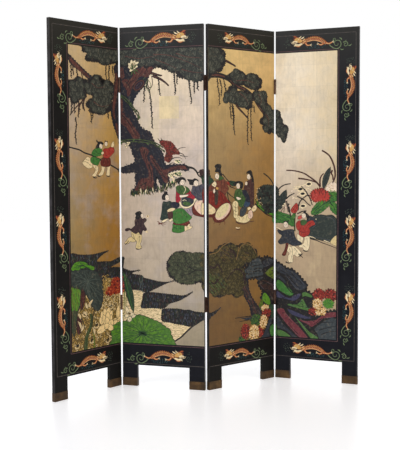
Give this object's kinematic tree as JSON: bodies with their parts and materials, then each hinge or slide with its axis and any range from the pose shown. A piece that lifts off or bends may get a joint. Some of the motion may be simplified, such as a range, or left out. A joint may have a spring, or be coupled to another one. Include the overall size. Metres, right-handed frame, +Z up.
{
  "type": "folding lacquer screen",
  "caption": "Free-standing folding lacquer screen of framed panels on brass-shod legs, hinged edge to edge so they fold like a concertina, with a leafed picture field in a black border.",
  "frame": {"origin": "floor level, at the centre of the plan of the box that holds the screen standing at rest", "axes": "+X along the screen from panel 1 to panel 4, -Y towards the picture side, +Z up"},
  "size_m": [1.5662, 0.2852, 1.83],
  "materials": {
    "black_lacquer": "black lacquer over gesso on wood, rubbed to a soft gloss",
    "core_wood": "planed bare softwood, hidden inside the panel",
    "leafed_ground": "metal leaf squares over gesso on wood, satin, with painted picture",
    "shoe_brass": "sheet brass, patinated dark bronze-brown, satin",
    "hinge_brass": "drawn and stamped brass, dull with handling"
  },
  "bodies": {
    "panel_1": {"panel_1_left_stile": "black_lacquer", "panel_1_right_stile": "black_lacquer", "panel_1_top_rail": "black_lacquer", "panel_1_bottom_rail": "black_lacquer", "panel_1_core_boards": "core_wood", "panel_1_front_facing": "black_lacquer", "panel_1_picture_ground": "leafed_ground", "panel_1_back_facing": "black_lacquer", "panel_1_left_shoe": "shoe_brass", "panel_1_right_shoe": "shoe_brass", "panel_1_shoe_pins": "shoe_brass", "hinge_1_2_left_leaves": "hinge_brass", "hinge_1_2_pins": "hinge_brass", "hinge_1_2_left_screws": "hinge_brass"},
    "panel_2": {"panel_2_left_stile": "black_lacquer", "panel_2_right_stile": "black_lacquer", "panel_2_top_rail": "black_lacquer", "panel_2_bottom_rail": "black_lacquer", "panel_2_core_boards": "core_wood", "panel_2_front_facing": "black_lacquer", "panel_2_picture_ground": "leafed_ground", "panel_2_back_facing": "black_lacquer", "panel_2_left_shoe": "shoe_brass", "panel_2_right_shoe": "shoe_brass", "panel_2_shoe_pins": "shoe_brass", "hinge_1_2_right_leaves": "hinge_brass", "hinge_1_2_right_screws": "hinge_brass", "hinge_2_3_left_leaves": "hinge_brass", "hinge_2_3_pins": "hinge_brass", "hinge_2_3_left_screws": "hinge_brass"},
    "panel_3": {"panel_3_left_stile": "black_lacquer", "panel_3_right_stile": "black_lacquer", "panel_3_top_rail": "black_lacquer", "panel_3_bottom_rail": "black_lacquer", "panel_3_core_boards": "core_wood", "panel_3_front_facing": "black_lacquer", "panel_3_picture_ground": "leafed_ground", "panel_3_back_facing": "black_lacquer", "panel_3_left_shoe": "shoe_brass", "panel_3_right_shoe": "shoe_brass", "panel_3_shoe_pins": "shoe_brass", "hinge_2_3_right_leaves": "hinge_brass", "hinge_2_3_right_screws": "hinge_brass", "hinge_3_4_left_leaves": "hinge_brass", "hinge_3_4_pins": "hinge_brass", "hinge_3_4_left_screws": "hinge_brass"},
    "panel_4": {"panel_4_left_stile": "black_lacquer", "panel_4_right_stile": "black_lacquer", "panel_4_top_rail": "black_lacquer", "panel_4_bottom_rail": "black_lacquer", "panel_4_core_boards": "core_wood", "panel_4_front_facing": "black_lacquer", "panel_4_picture_ground": "leafed_ground", "panel_4_back_facing": "black_lacquer", "panel_4_left_shoe": "shoe_brass", "panel_4_right_shoe": "shoe_brass", "panel_4_shoe_pins": "shoe_brass", "hinge_3_4_right_leaves": "hinge_brass", "hinge_3_4_right_screws": "hinge_brass"}
  },
  "joints": [
    {"name": "fold_1_2", "type": "hinge", "parent": "panel_2", "child": "panel_1", "pos_m": [-0.41436, 0.12027, 0.915], "axis": [0, 0, 1], "range_deg": [-65, 115]},
    {"name": "fold_2_3", "type": "hinge", "parent": "panel_2", "child": "panel_3", "pos_m": [-0.00922, -0.06139, 0.915], "axis": [0, 0, 1], "range_deg": [-54, 126]},
    {"name": "fold_3_4", "type": "hinge", "parent": "panel_3", "child": "panel_4", "pos_m": [0.40201, 0.10602, 0.915], "axis": [0, 0, -1], "range_deg": [-60, 120]}
  ]
}
